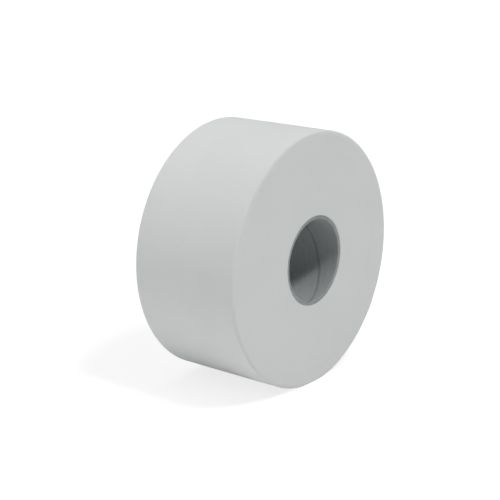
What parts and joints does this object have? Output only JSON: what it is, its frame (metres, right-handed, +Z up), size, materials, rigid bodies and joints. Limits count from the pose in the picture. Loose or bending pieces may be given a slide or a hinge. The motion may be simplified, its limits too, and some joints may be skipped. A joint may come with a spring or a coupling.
{
  "type": "toilet paper roll",
  "caption": "Wide-core jumbo roll of plain white toilet tissue wound on a grey board tube, lying on its curved side.",
  "frame": {"origin": "middle of the flat spot under the roll, halfway along its width", "axes": "+Z up, Y along the roll's axis with the end seen in the picture facing -Y, +X across the roll"},
  "size_m": [0.1852, 0.087, 0.1846],
  "materials": {
    "tissue": "soft matt white tissue",
    "core_board": "unprinted grey recycled board"
  },
  "bodies": {
    "root": {"paper_roll": "tissue", "core_tube": "core_board"}
  },
  "joints": []
}
